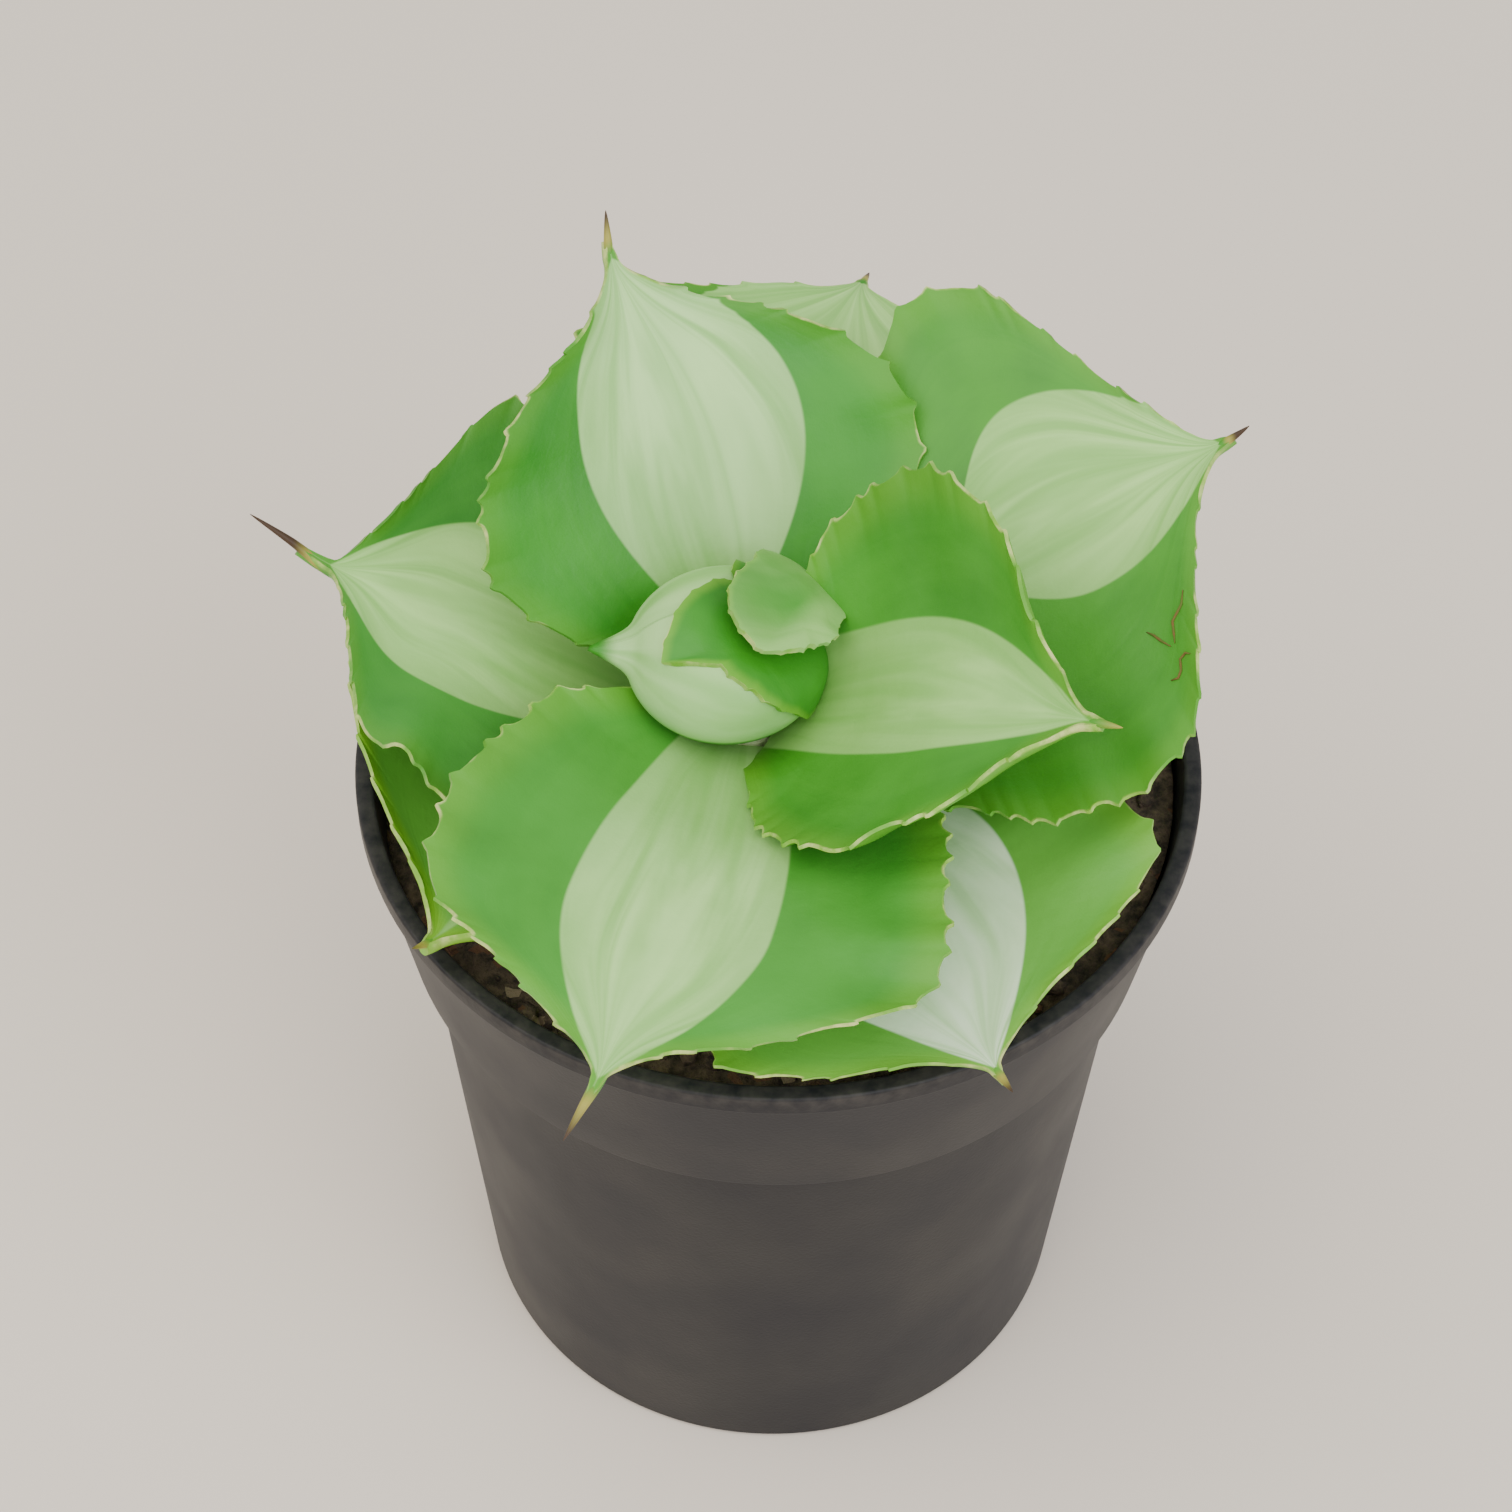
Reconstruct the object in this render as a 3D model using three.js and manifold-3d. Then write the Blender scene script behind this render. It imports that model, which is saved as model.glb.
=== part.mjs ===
// A young broad-leaved agave in a round nursery pot, in millimetres, +Z up.
// The origin is the centre of the pot's flat underside, and +X is to the right of someone who
// faces the plant from its front, which is -Y.
// Eight open leaves stand round a short stem in a spiral, each a little over a third of a turn
// on from the last, and three rolled leaves make the bud in the middle.
import * as THREE from "three";
import { mergeVertices } from "three/addons/utils/BufferGeometryUtils.js";
import Module from "manifold-3d";

const wasm = await Module();
wasm.setup();

// ---- driving sizes ----
const TAU = Math.PI * 2;
const GAP = 0.35; // clearance between pieces that touch

const POT_HEIGHT = 113;
const RIM_RADIUS = 60; // outside of the rolled lip
const BASE_RADIUS = 46; // outside, at the underside
const WALL = 1.5;
const FLOOR = 2.2;
const LIP_HEIGHT = 3.5;
const LIP_OVERHANG = 1; // how far the lip stands out from the collar
const LIP_ROUND = 0.8; // rounding of its edges
const COLLAR_HEIGHT = 28; // the wider band under the lip, measured from the top
const COLLAR_STEP = 2.6; // how far the band stands out from the body
const BODY_SLOPE = 0.075; // how fast the body widens with height
const DRAIN_COUNT = 8;
const DRAIN_RADIUS = 4;
const DRAIN_CIRCLE = 32;
const POT_SEGMENTS = 48;

const SOIL_BELOW_RIM = 8; // soil level at the wall
const SOIL_MOUND = 2; // how much higher it lies round the stem
const SOIL_DEEPEST = FLOOR + GAP;

const STEM_RADIUS = 7;
const STEM_X = -5; // the stem stands a little to one side of the pot's middle
const CROWN_HEIGHT = 12; // top of the stem above the rim
const STEM_DEPTH = 22; // how far the stem's foot reaches below the rim
const ROOT_COUNT = 7;
const ROOT_REACH = 34;
const ROOT_DROP = 48;
const ROOT_RADIUS = 1.6;

const BUD_RADIUS = 13.9; // the rolled heart at its widest
const BUD_SQUASH = 0.72; // its height against its width
const BUD_ABOVE_RIM = 20.5; // its centre
const BUD_X = -7.5;

const LEAF_EDGE = 0.9; // thickness at the margin
const LEAF_BODY = 3.6; // thickness along the midrib, at the base
const LEAF_TIP_BODY = 1.8; // and where the spine starts
const SPINE_RADIUS = 0.9;
const TOOTH = 1.1; // how far a marginal tooth stands out
const LEAF_ROWS = 26;
const LEAF_COLUMNS = 6;
const TOOTHED = [0.25, 0.93]; // the part of a blade that bears teeth
const SPINE_ROWS = 3;

// Each open leaf, youngest first: azimuth from +X, and how far it turns on the way out; height of
// its foot above the rim; climb at foot and tip; blade length and half width; where it is widest;
// half angle of its gutter at foot and tip; roll about its own length; how much wider its left
// side is than its right; length of its spine, and how far that lifts and veers to the left of
// the blade. Angles are in degrees.
const OPEN_LEAVES = [
  { name: "inner_leaf_right", azimuth: -34, turn: 3, foot: 10, climb: [45, 23], length: 55, half: 30,
    waist: 0.58, widest: 0.48, gutter: [46, 44], roll: 26, skew: 0.1, spine: 7, lift: -12, veer: 0 },
  { name: "inner_leaf_back", azimuth: 106, turn: 17, foot: 8, climb: [50, 45], length: 61, half: 34,
    waist: 0.37, widest: 0.46, gutter: [28, 21], roll: 2, skew: 0, spine: 9, lift: 8, veer: -16 },
  { name: "inner_leaf_front", azimuth: 257, turn: -1, foot: 7, climb: [30, -4], length: 70, half: 34.5,
    waist: 0.7, widest: 0.62, gutter: [43, 3], roll: -6, skew: 0.09, spine: 12, lift: -6, veer: -12 },
  { name: "outer_leaf_right", azimuth: 24, turn: -9, foot: 4, climb: [42, 16], length: 72, half: 45.5,
    waist: 0.4, widest: 0.57, gutter: [27, 17], roll: 9, skew: -0.05, spine: 7.5, lift: 26, veer: 0 },
  { name: "outer_leaf_left", azimuth: 164, turn: 4, foot: 1, climb: [33, 10], length: 57, half: 35.5,
    waist: 0.5, widest: 0.72, gutter: [29, 20], roll: 3, skew: -0.04, spine: 15.5, lift: 28, veer: 0 },
  { name: "outer_leaf_front", azimuth: 300, turn: -2, foot: -1, climb: [17, -1], length: 62, half: 34,
    waist: 0.5, widest: 0.62, gutter: [36, 4], roll: 7, skew: 0.07, spine: 7, lift: 8, veer: 0 },
  { name: "outer_leaf_back", azimuth: 79, turn: -4, foot: -2, climb: [59, -21], length: 79, half: 36,
    waist: 0.5, widest: 0.56, gutter: [27, 22], roll: 3, skew: 0, spine: 8, lift: 0, veer: 0 },
  { name: "outer_leaf_low", azimuth: 218, turn: 11, foot: -2.5, climb: [21, -3], length: 50, half: 38,
    waist: 0.5, widest: 0.58, gutter: [33, 52], roll: 3, skew: -0.06, spine: 6, lift: 30, veer: 0 },
];

// The two rolled leaves that wrap the heart, inner one first. Each is a patch of the bud's round
// surface. Its middle is [angle down from the top, bearing]. Its margin is a list of [direction
// round that middle, angle out from it], where direction 0 is straight down the bud.
const ROLLED_LEAVES = [
  { name: "bud_leaf_wrapped", middle: [38, -20],
    margin: [[0, 76], [44, 89], [69, 100], [95, 98], [119, 75], [141, 53], [171, 57], [206, 66], [225, 74],
      [230, 56], [240, 43], [276, 40], [302, 46], [326, 55], [343, 72]] },
  { name: "bud_leaf_hooded", middle: [38, 8],
    margin: [[0, 40], [25, 52], [56, 60], [82, 58], [116, 40], [165, 29], [185, 37], [206, 38], [238, 38],
      [252, 31], [278, 24], [320, 22]] },
];
const ROLLED_THICKNESS = 1;
const ROLLED_GAP = BUD_RADIUS * 0.027; // clearance under each, more for a larger bud's flats
const ROLLED_STEPS = 48; // round the margin
const ROLLED_RINGS = 7; // from the middle out to the margin

// ---- small helpers ----
const rad = (degrees) => (degrees * Math.PI) / 180;
const mix = (a, b, t) => a + (b - a) * t;

// A closed skin over a stack of closed loops that all have the same even number of points. A
// loop runs along one side and back along the other, so its foot is closed by strips from side
// to side, and the last loop closes on the point that is given.
function skin(loops, tip) {
  const size = loops[0].length;
  const points = [...loops.flat(), tip];
  const faces = [];
  for (let i = 0; i < loops.length - 1; i++) {
    for (let j = 0; j < size; j++) {
      const next = (j + 1) % size;
      const a = i * size + j;
      const b = i * size + next;
      const c = a + size;
      const d = b + size;
      faces.push(a, d, b, a, c, d);
    }
  }
  for (let j = 0; j < size / 2 - 1; j++) {
    const back = size - 1 - j;
    faces.push(j, j + 1, back, j + 1, back - 1, back);
  }
  const last = (loops.length - 1) * size;
  for (let j = 0; j < size; j++) faces.push(points.length - 1, last + ((j + 1) % size), last + j);
  const geometry = new THREE.BufferGeometry().setFromPoints(points);
  geometry.setIndex(faces);
  return geometry;
}

function solid(geometry) {
  const bare = new THREE.BufferGeometry();
  bare.setAttribute("position", geometry.getAttribute("position"));
  if (geometry.index) bare.setIndex(geometry.index);
  const merged = mergeVertices(bare, 1e-4);
  return new wasm.Manifold(
    new wasm.Mesh({
      numProp: 3,
      vertProperties: new Float32Array(merged.attributes.position.array),
      triVerts: new Uint32Array(merged.index.array),
    }),
  );
}

function geometryOf(manifold) {
  const mesh = manifold.getMesh();
  const geometry = new THREE.BufferGeometry();
  geometry.setAttribute("position", new THREE.BufferAttribute(mesh.vertProperties, 3));
  geometry.setIndex(new THREE.BufferAttribute(mesh.triVerts, 1));
  return geometry;
}

function lathe(profile, segments) {
  const points = profile.map(([radius, z]) => new THREE.Vector2(radius, z));
  return new THREE.LatheGeometry(points, segments).rotateX(Math.PI / 2);
}

const agave = new THREE.Group();
agave.name = "agave";

function add(name, geometry, colour, roughness) {
  const material = new THREE.MeshStandardMaterial({ color: colour, roughness, metalness: 0 });
  const mesh = new THREE.Mesh(geometry, material);
  mesh.name = name;
  agave.add(mesh);
}

// ---- pot ----
const collarBottom = POT_HEIGHT - COLLAR_HEIGHT;
const bodyTopRadius = BASE_RADIUS + collarBottom * BODY_SLOPE;
const collarFootRadius = bodyTopRadius + COLLAR_STEP;
const collarTopRadius = RIM_RADIUS - LIP_OVERHANG;
const lipBottom = POT_HEIGHT - LIP_HEIGHT;

// Inside radius of the wall at a height. The step of the collar shows inside, one wall higher.
const innerStep = collarBottom + WALL;

function insideRadius(z) {
  if (z < innerStep) return mix(BASE_RADIUS, bodyTopRadius, z / innerStep) - WALL;
  return mix(collarFootRadius, collarTopRadius, (z - innerStep) / (lipBottom - innerStep)) - WALL;
}

function potGeometry() {
  const profile = [
    [0, 0],
    [BASE_RADIUS - LIP_ROUND, 0],
    [BASE_RADIUS, LIP_ROUND],
    [bodyTopRadius, collarBottom],
    [collarFootRadius, collarBottom],
    [collarTopRadius, lipBottom],
    [RIM_RADIUS, lipBottom],
    [RIM_RADIUS, POT_HEIGHT - LIP_ROUND],
    [RIM_RADIUS - LIP_ROUND, POT_HEIGHT],
    [collarTopRadius - WALL + LIP_ROUND / 2, POT_HEIGHT],
    [collarTopRadius - WALL, POT_HEIGHT - LIP_ROUND],
    [insideRadius(lipBottom), lipBottom],
    [insideRadius(innerStep), innerStep],
    [bodyTopRadius - WALL, innerStep],
    [insideRadius(FLOOR), FLOOR],
    [0, FLOOR],
  ];
  let pot = solid(lathe(profile, POT_SEGMENTS));
  for (let i = 0; i < DRAIN_COUNT; i++) {
    const angle = (i / DRAIN_COUNT) * TAU;
    const plug = new THREE.CylinderGeometry(DRAIN_RADIUS, DRAIN_RADIUS, 4 * FLOOR, 16);
    plug.rotateX(Math.PI / 2);
    plug.translate(DRAIN_CIRCLE * Math.cos(angle), DRAIN_CIRCLE * Math.sin(angle), 0);
    pot = pot.subtract(solid(plug));
  }
  return geometryOf(pot);
}

// ---- stem, with its roots ----
const crown = POT_HEIGHT + CROWN_HEIGHT;
const STEM_TAPER = 5; // height over which its foot narrows
const ROOT_STEPS = 7;
const ROOT_SIDES = 6;

function stemSolid(grow) {
  const foot = POT_HEIGHT - STEM_DEPTH;
  const radius = STEM_RADIUS + grow;
  const profile = [
    [0, foot - grow],
    [radius * 0.6, foot - grow],
    [radius, foot + STEM_TAPER],
    [radius, crown - STEM_TAPER / 2],
    [radius * 0.7, crown + grow],
    [0, crown + grow],
  ];
  let stem = solid(lathe(profile, 24).translate(STEM_X, 0, 0));
  for (let i = 0; i < ROOT_COUNT; i++) {
    const bearing = (i / ROOT_COUNT) * TAU;
    const reach = ROOT_REACH * (0.75 + 0.25 * Math.cos(2.4 * i));
    const drop = ROOT_DROP * (0.8 + 0.2 * Math.sin(1.7 * i));
    stem = stem.add(rootSolid(bearing, reach, drop, foot + STEM_TAPER, grow));
  }
  return stem;
}

// A root leaves the stem sideways, then turns down and thins out.
function rootSolid(bearing, reach, drop, start, grow) {
  const out = new THREE.Vector3(Math.cos(bearing), Math.sin(bearing), 0);
  const across = new THREE.Vector3(-Math.sin(bearing), Math.cos(bearing), 0);
  const place = (t) => {
    const along = STEM_RADIUS / 2 + reach * t * (1.5 - 0.5 * t);
    return new THREE.Vector3(STEM_X, 0, start - drop * t * t).addScaledVector(out, along);
  };
  const loops = [];
  for (let i = 0; i < ROOT_STEPS; i++) {
    const t = i / ROOT_STEPS;
    const ahead = place(t + 0.02).sub(place(t)).normalize();
    const up = new THREE.Vector3().crossVectors(ahead, across);
    const radius = ROOT_RADIUS * (1 - 0.7 * t) + grow;
    const loop = [];
    for (let j = 0; j < ROOT_SIDES; j++) {
      const turn = (j / ROOT_SIDES) * TAU;
      const point = place(t).addScaledVector(across, radius * Math.cos(turn));
      loop.push(point.addScaledVector(up, -radius * Math.sin(turn)));
    }
    loops.push(loop);
  }
  const ahead = place(1).sub(place(0.98)).normalize();
  return solid(skin(loops, place(1).addScaledVector(ahead, 2 * grow)));
}

// ---- soil ----
function soilGeometry() {
  const edge = POT_HEIGHT - SOIL_BELOW_RIM;
  const inside = (z) => insideRadius(z) - GAP;
  const step = innerStep + GAP;
  const profile = [
    [0, SOIL_DEEPEST],
    [inside(SOIL_DEEPEST), SOIL_DEEPEST],
    [bodyTopRadius - WALL - GAP, step],
    [inside(innerStep), step],
    [inside(edge), edge],
    [inside(edge) * 0.8, edge + SOIL_MOUND * 0.2],
    [inside(edge) * 0.45, edge + SOIL_MOUND * 0.8],
    [0, edge + SOIL_MOUND],
  ];
  const soil = solid(lathe(profile, POT_SEGMENTS));
  return geometryOf(soil.subtract(stemSolid(GAP)));
}

// ---- open leaves ----
// Half width of a blade, as a share of its widest: a clasping foot, a belly, and a drawn-out tip.
function outline(leaf, t) {
  const foot = 0.55 + 0.45 * Math.min(1, t / 0.18);
  if (t < leaf.widest) {
    return foot * mix(leaf.waist, 1, Math.sin((Math.PI / 2) * (t / leaf.widest)) ** 1.3);
  }
  return Math.max(0, 1 - ((t - leaf.widest) / (1 - leaf.widest)) ** 2) ** 1.35;
}

// Where a leaf is heading, at a share of its blade's length.
function heading(leaf, t) {
  const climb = rad(mix(leaf.climb[0], leaf.climb[1], t));
  const bearing = rad(leaf.azimuth + leaf.turn * t);
  const level = new THREE.Vector3(-Math.sin(bearing), Math.cos(bearing), 0);
  const ahead = new THREE.Vector3(Math.cos(bearing), Math.sin(bearing), 0);
  ahead.multiplyScalar(Math.cos(climb)).setZ(Math.sin(climb));
  const above = new THREE.Vector3().crossVectors(ahead, level);
  const side = level.clone().applyAxisAngle(ahead, rad(leaf.roll));
  const up = above.clone().applyAxisAngle(ahead, rad(leaf.roll));
  return { ahead, side, up };
}

// The line of a leaf's midrib, in even steps from its foot.
function midrib(leaf) {
  const bearing = rad(leaf.azimuth);
  const start = new THREE.Vector3(Math.cos(bearing), Math.sin(bearing), 0);
  start.multiplyScalar(STEM_RADIUS + GAP).add(new THREE.Vector3(STEM_X, 0, POT_HEIGHT + leaf.foot));
  const points = [start];
  for (let i = 0; i < LEAF_ROWS; i++) {
    const { ahead } = heading(leaf, (i + 0.5) / LEAF_ROWS);
    points.push(points[i].clone().addScaledVector(ahead, leaf.length / LEAF_ROWS));
  }
  return points;
}

// A blade is a thick sheet curved across its width, hollow above, thin at the margins, with a
// tooth at every other row.
function leafSolid(leaf, grow = 0) {
  const middles = midrib(leaf);
  const loops = [];
  for (let i = 0; i < LEAF_ROWS; i++) {
    const t = i / LEAF_ROWS;
    const { ahead, side, up } = heading(leaf, t);
    const middle = middles[i].clone().addScaledVector(ahead, i === 0 ? -grow : 0);
    const bend = rad(mix(leaf.gutter[0], leaf.gutter[1], t));
    const toothed = t > TOOTHED[0] && t < TOOTHED[1] && i % 2 === 1;
    const upper = [];
    const lower = [];
    for (let j = 0; j <= LEAF_COLUMNS; j++) {
      const s = (2 * j) / LEAF_COLUMNS - 1;
      const blade = leaf.half * outline(leaf, t) * (1 + leaf.skew * Math.sign(s));
      const half = Math.max(blade, SPINE_RADIUS) + (toothed ? TOOTH : 0) + grow;
      const radius = half / bend;
      const point = middle.clone().addScaledVector(side, radius * Math.sin(s * bend));
      point.addScaledVector(up, radius * (1 - Math.cos(s * bend)));
      const normal = up.clone().multiplyScalar(Math.cos(s * bend));
      normal.addScaledVector(side, -Math.sin(s * bend));
      const thickness = mix(LEAF_EDGE, mix(LEAF_BODY, LEAF_TIP_BODY, t), 1 - s * s);
      upper.push(point.clone().addScaledVector(normal, grow));
      lower.unshift(point.clone().addScaledVector(normal, -thickness - grow));
    }
    loops.push([...upper, ...lower]);
  }
  // The spine goes on from the tip as a narrow cone.
  const { ahead, side, up } = heading(leaf, 1);
  ahead.addScaledVector(up, Math.tan(rad(leaf.lift)));
  ahead.addScaledVector(side, Math.tan(rad(leaf.veer))).normalize();
  const last = loops.at(-1);
  const hub = new THREE.Vector3();
  last.forEach((point) => hub.addScaledVector(point, 1 / last.length));
  for (let i = 1; i < SPINE_ROWS; i++) {
    const t = i / SPINE_ROWS;
    const smaller = last.map((point) => point.clone().lerp(hub, t).addScaledVector(ahead, leaf.spine * t));
    loops.push(smaller);
  }
  return solid(skin(loops, hub.addScaledVector(ahead, leaf.spine + grow)));
}

// ---- bud ----
const budCentre = new THREE.Vector3(BUD_X, 0, POT_HEIGHT + BUD_ABOVE_RIM);

// A point of the bud at a radius, in a direction given as an angle out from a middle and a
// direction round it.
function budPoint(radius, middle, around, out) {
  const [down, bearing] = middle.map(rad);
  const towards = new THREE.Vector3(Math.sin(down), 0, Math.cos(down));
  const downhill = new THREE.Vector3(Math.cos(down), 0, -Math.sin(down));
  const across = new THREE.Vector3(0, 1, 0);
  const place = towards.multiplyScalar(Math.cos(out));
  place.addScaledVector(downhill, Math.cos(around) * Math.sin(out));
  place.addScaledVector(across, Math.sin(around) * Math.sin(out));
  place.applyAxisAngle(new THREE.Vector3(0, 0, 1), bearing).multiplyScalar(radius);
  return place.multiply(new THREE.Vector3(1, 1, BUD_SQUASH)).add(budCentre);
}

function heartSolid(grow = 0) {
  const radius = BUD_RADIUS + grow;
  const round = new THREE.SphereGeometry(radius, 24, 14).rotateX(Math.PI / 2);
  return solid(round.scale(1, 1, BUD_SQUASH).translate(budCentre.x, budCentre.y, budCentre.z));
}

// How far out the margin of a rolled leaf lies, in a direction round its middle, in degrees.
function marginAt(leaf, around) {
  const after = leaf.margin.findIndex(([direction]) => direction > around);
  const a = leaf.margin.at(after < 0 ? -1 : after - 1);
  const b = leaf.margin.at(after < 0 ? 0 : after);
  const span = (b[0] - a[0] + 360) % 360;
  return mix(a[1], b[1], (around - a[0]) / span);
}

// A shell that lies on the bud between two radii, one layer out for each leaf already there.
function rolledSolid(leaf, grow = 0) {
  const layer = ROLLED_LEAVES.indexOf(leaf);
  const inner = BUD_RADIUS + ROLLED_GAP + layer * (ROLLED_THICKNESS + ROLLED_GAP) - grow;
  const outer = inner + ROLLED_THICKNESS + 2 * grow;
  const ring = (radius, share) => {
    const points = [];
    for (let i = 0; i < ROLLED_STEPS; i++) {
      const around = (i / ROLLED_STEPS) * 360;
      const out = rad(marginAt(leaf, around)) * share + grow / BUD_RADIUS;
      points.push(budPoint(radius, leaf.middle, rad(around), out));
    }
    return points;
  };
  const shares = [];
  for (let i = 1; i <= ROLLED_RINGS; i++) shares.push(i / ROLLED_RINGS);
  const outside = shares.map((share) => ring(outer, share));
  const inside = shares.map((share) => ring(inner, share)).reverse();
  return solid(skin([...outside, ...inside], budPoint(inner, leaf.middle, 0, 0)));
}

// ---- assembly ----
add("pot", potGeometry(), 0x505053, 0.55);
add("soil", soilGeometry(), 0x33261f, 0.95);
add("stem", geometryOf(stemSolid(0).subtract(heartSolid(GAP))), 0xa8b98a, 0.6);
add("bud_heart", geometryOf(heartSolid()), 0xb4c9a0, 0.5);

const taken = [heartSolid(GAP)];
for (const leaf of ROLLED_LEAVES) {
  add(leaf.name, geometryOf(rolledSolid(leaf)), 0x6fae55, 0.45);
  taken.push(rolledSolid(leaf, GAP));
}

function without(body, neighbours) {
  return neighbours.reduce((rest, neighbour) => rest.subtract(neighbour), body);
}

// An older leaf gives way to the younger ones that press on it, to the stem and to the soil.
taken.push(stemSolid(GAP));
for (const leaf of OPEN_LEAVES) {
  add(leaf.name, geometryOf(without(leafSolid(leaf), taken)), 0x55a03c, 0.45);
  taken.push(leafSolid(leaf, GAP));
}

export default agave;
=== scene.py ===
"""The finished look of a young broad-leaved agave in a round nursery pot.

Sizes are in millimetres, in the part's own frame, and become metres as a mesh is made. Only the
camera's and the lights' places and sizes are in metres.
"""
import math
import random

import bpy
from mathutils import Matrix, Vector, noise


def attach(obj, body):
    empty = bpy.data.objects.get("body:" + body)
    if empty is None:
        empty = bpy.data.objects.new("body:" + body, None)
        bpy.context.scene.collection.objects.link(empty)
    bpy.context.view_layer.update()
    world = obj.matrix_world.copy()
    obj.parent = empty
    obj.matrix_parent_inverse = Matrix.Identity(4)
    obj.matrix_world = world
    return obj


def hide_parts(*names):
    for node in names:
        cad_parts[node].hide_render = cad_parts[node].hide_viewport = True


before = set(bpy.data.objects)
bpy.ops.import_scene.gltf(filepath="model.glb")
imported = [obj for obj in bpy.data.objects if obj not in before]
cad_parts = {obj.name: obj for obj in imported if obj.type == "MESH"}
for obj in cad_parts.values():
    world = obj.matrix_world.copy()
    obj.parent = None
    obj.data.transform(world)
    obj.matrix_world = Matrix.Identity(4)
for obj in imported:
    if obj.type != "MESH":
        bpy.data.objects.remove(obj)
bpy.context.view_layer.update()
MM = 0.001

# ---- driving sizes ----
POT_HEIGHT = 113
RIM_RADIUS = 60
BASE_RADIUS = 46
WALL = 1.5
FLOOR = 2.2
LIP_HEIGHT = 3.5
LIP_OVERHANG = 1
COLLAR_HEIGHT = 28
COLLAR_STEP = 2.6
BODY_SLOPE = 0.075
DRAIN_COUNT = 8
DRAIN_RADIUS = 4
DRAIN_CIRCLE = 32
POT_BEVEL = 0.7
DUSTY_BAND = 6  # how far below the rim the dust lies
SOIL_BELOW_RIM = 8
SOIL_MOUND = 2
SOIL_HEAP = 3.5  # how high the soil is heaped against the wall at one side
CRUMB_COUNT = 520
CLEARANCE = 0.35
STEM_RADIUS = 7
STEM_X = -5
BUD_RADIUS = 13.9
BUD_SQUASH = 0.72
BUD_CENTRE = Vector((-7.5, 0, POT_HEIGHT + 20.5))
LEAF_EDGE = 0.5
LEAF_BODY = 3.4
FOOT_SHARE = 0.55  # how wide a blade's very foot is, as a share of its width a little way out
FOOT_LENGTH = 0.18  # the share of a blade's length by which that narrowing has ended
TIP_RADIUS = 0.9  # a blade's half width where its spine starts
NECK_RADIUS = 3.2  # half width of the drawn-out neck that leads a blade into its spine
SPINE_OVERLAP = 0.04  # the last share of a blade's length, which the part's spine takes up
SPINE_TURN = (0.94, 1.06)  # the shares of its length between which a leaf turns to its spine's way
TOOTH_HEIGHT = 0.9
TOOTH_BASE = 1.1
TOOTH_SPACING = 5.5
BAY_DEPTH = 0.4
MARGIN_WANDER = 1.3
RIPPLE = 0.7  # how far a blade's margin goes up and down
SWELL = 0.8  # how far its face does
RIB_STEPS = 100  # steps of the midrib to a blade's length
ROLLED_THICKNESS = 0.9
ROLLED_GAP = 0.7  # between the wrapped leaf and the heart under it
VALLEY_DEPTH = 3.2  # how far the wrapped leaf dips round the hooded one
CUP_DEPTH = 1.8  # how deep the hooded leaf's hollow is
NIB = (80, -176)  # where the heart's own tip stands out, as (angle down from the bud's top, bearing)
NIB_HEIGHT = 6
NIB_SPREAD = 22  # in degrees
ROLLED_PATTERN = 9  # how far a rolled leaf's streaks run from its middle to its margin
SCAR_RADIUS = 0.2
SCAR_RISE = 0.08  # how far the middle of a scar lies above the blade

# ---- camera ----
CAMERA_TARGET = Vector((-0.0032, 0.0463, 0.05665))
CAMERA_DISTANCE = 0.584
CAMERA_ELEVATION = 50
CAMERA_ROLL = 0.6
CAMERA_LENS = 85.7

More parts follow.
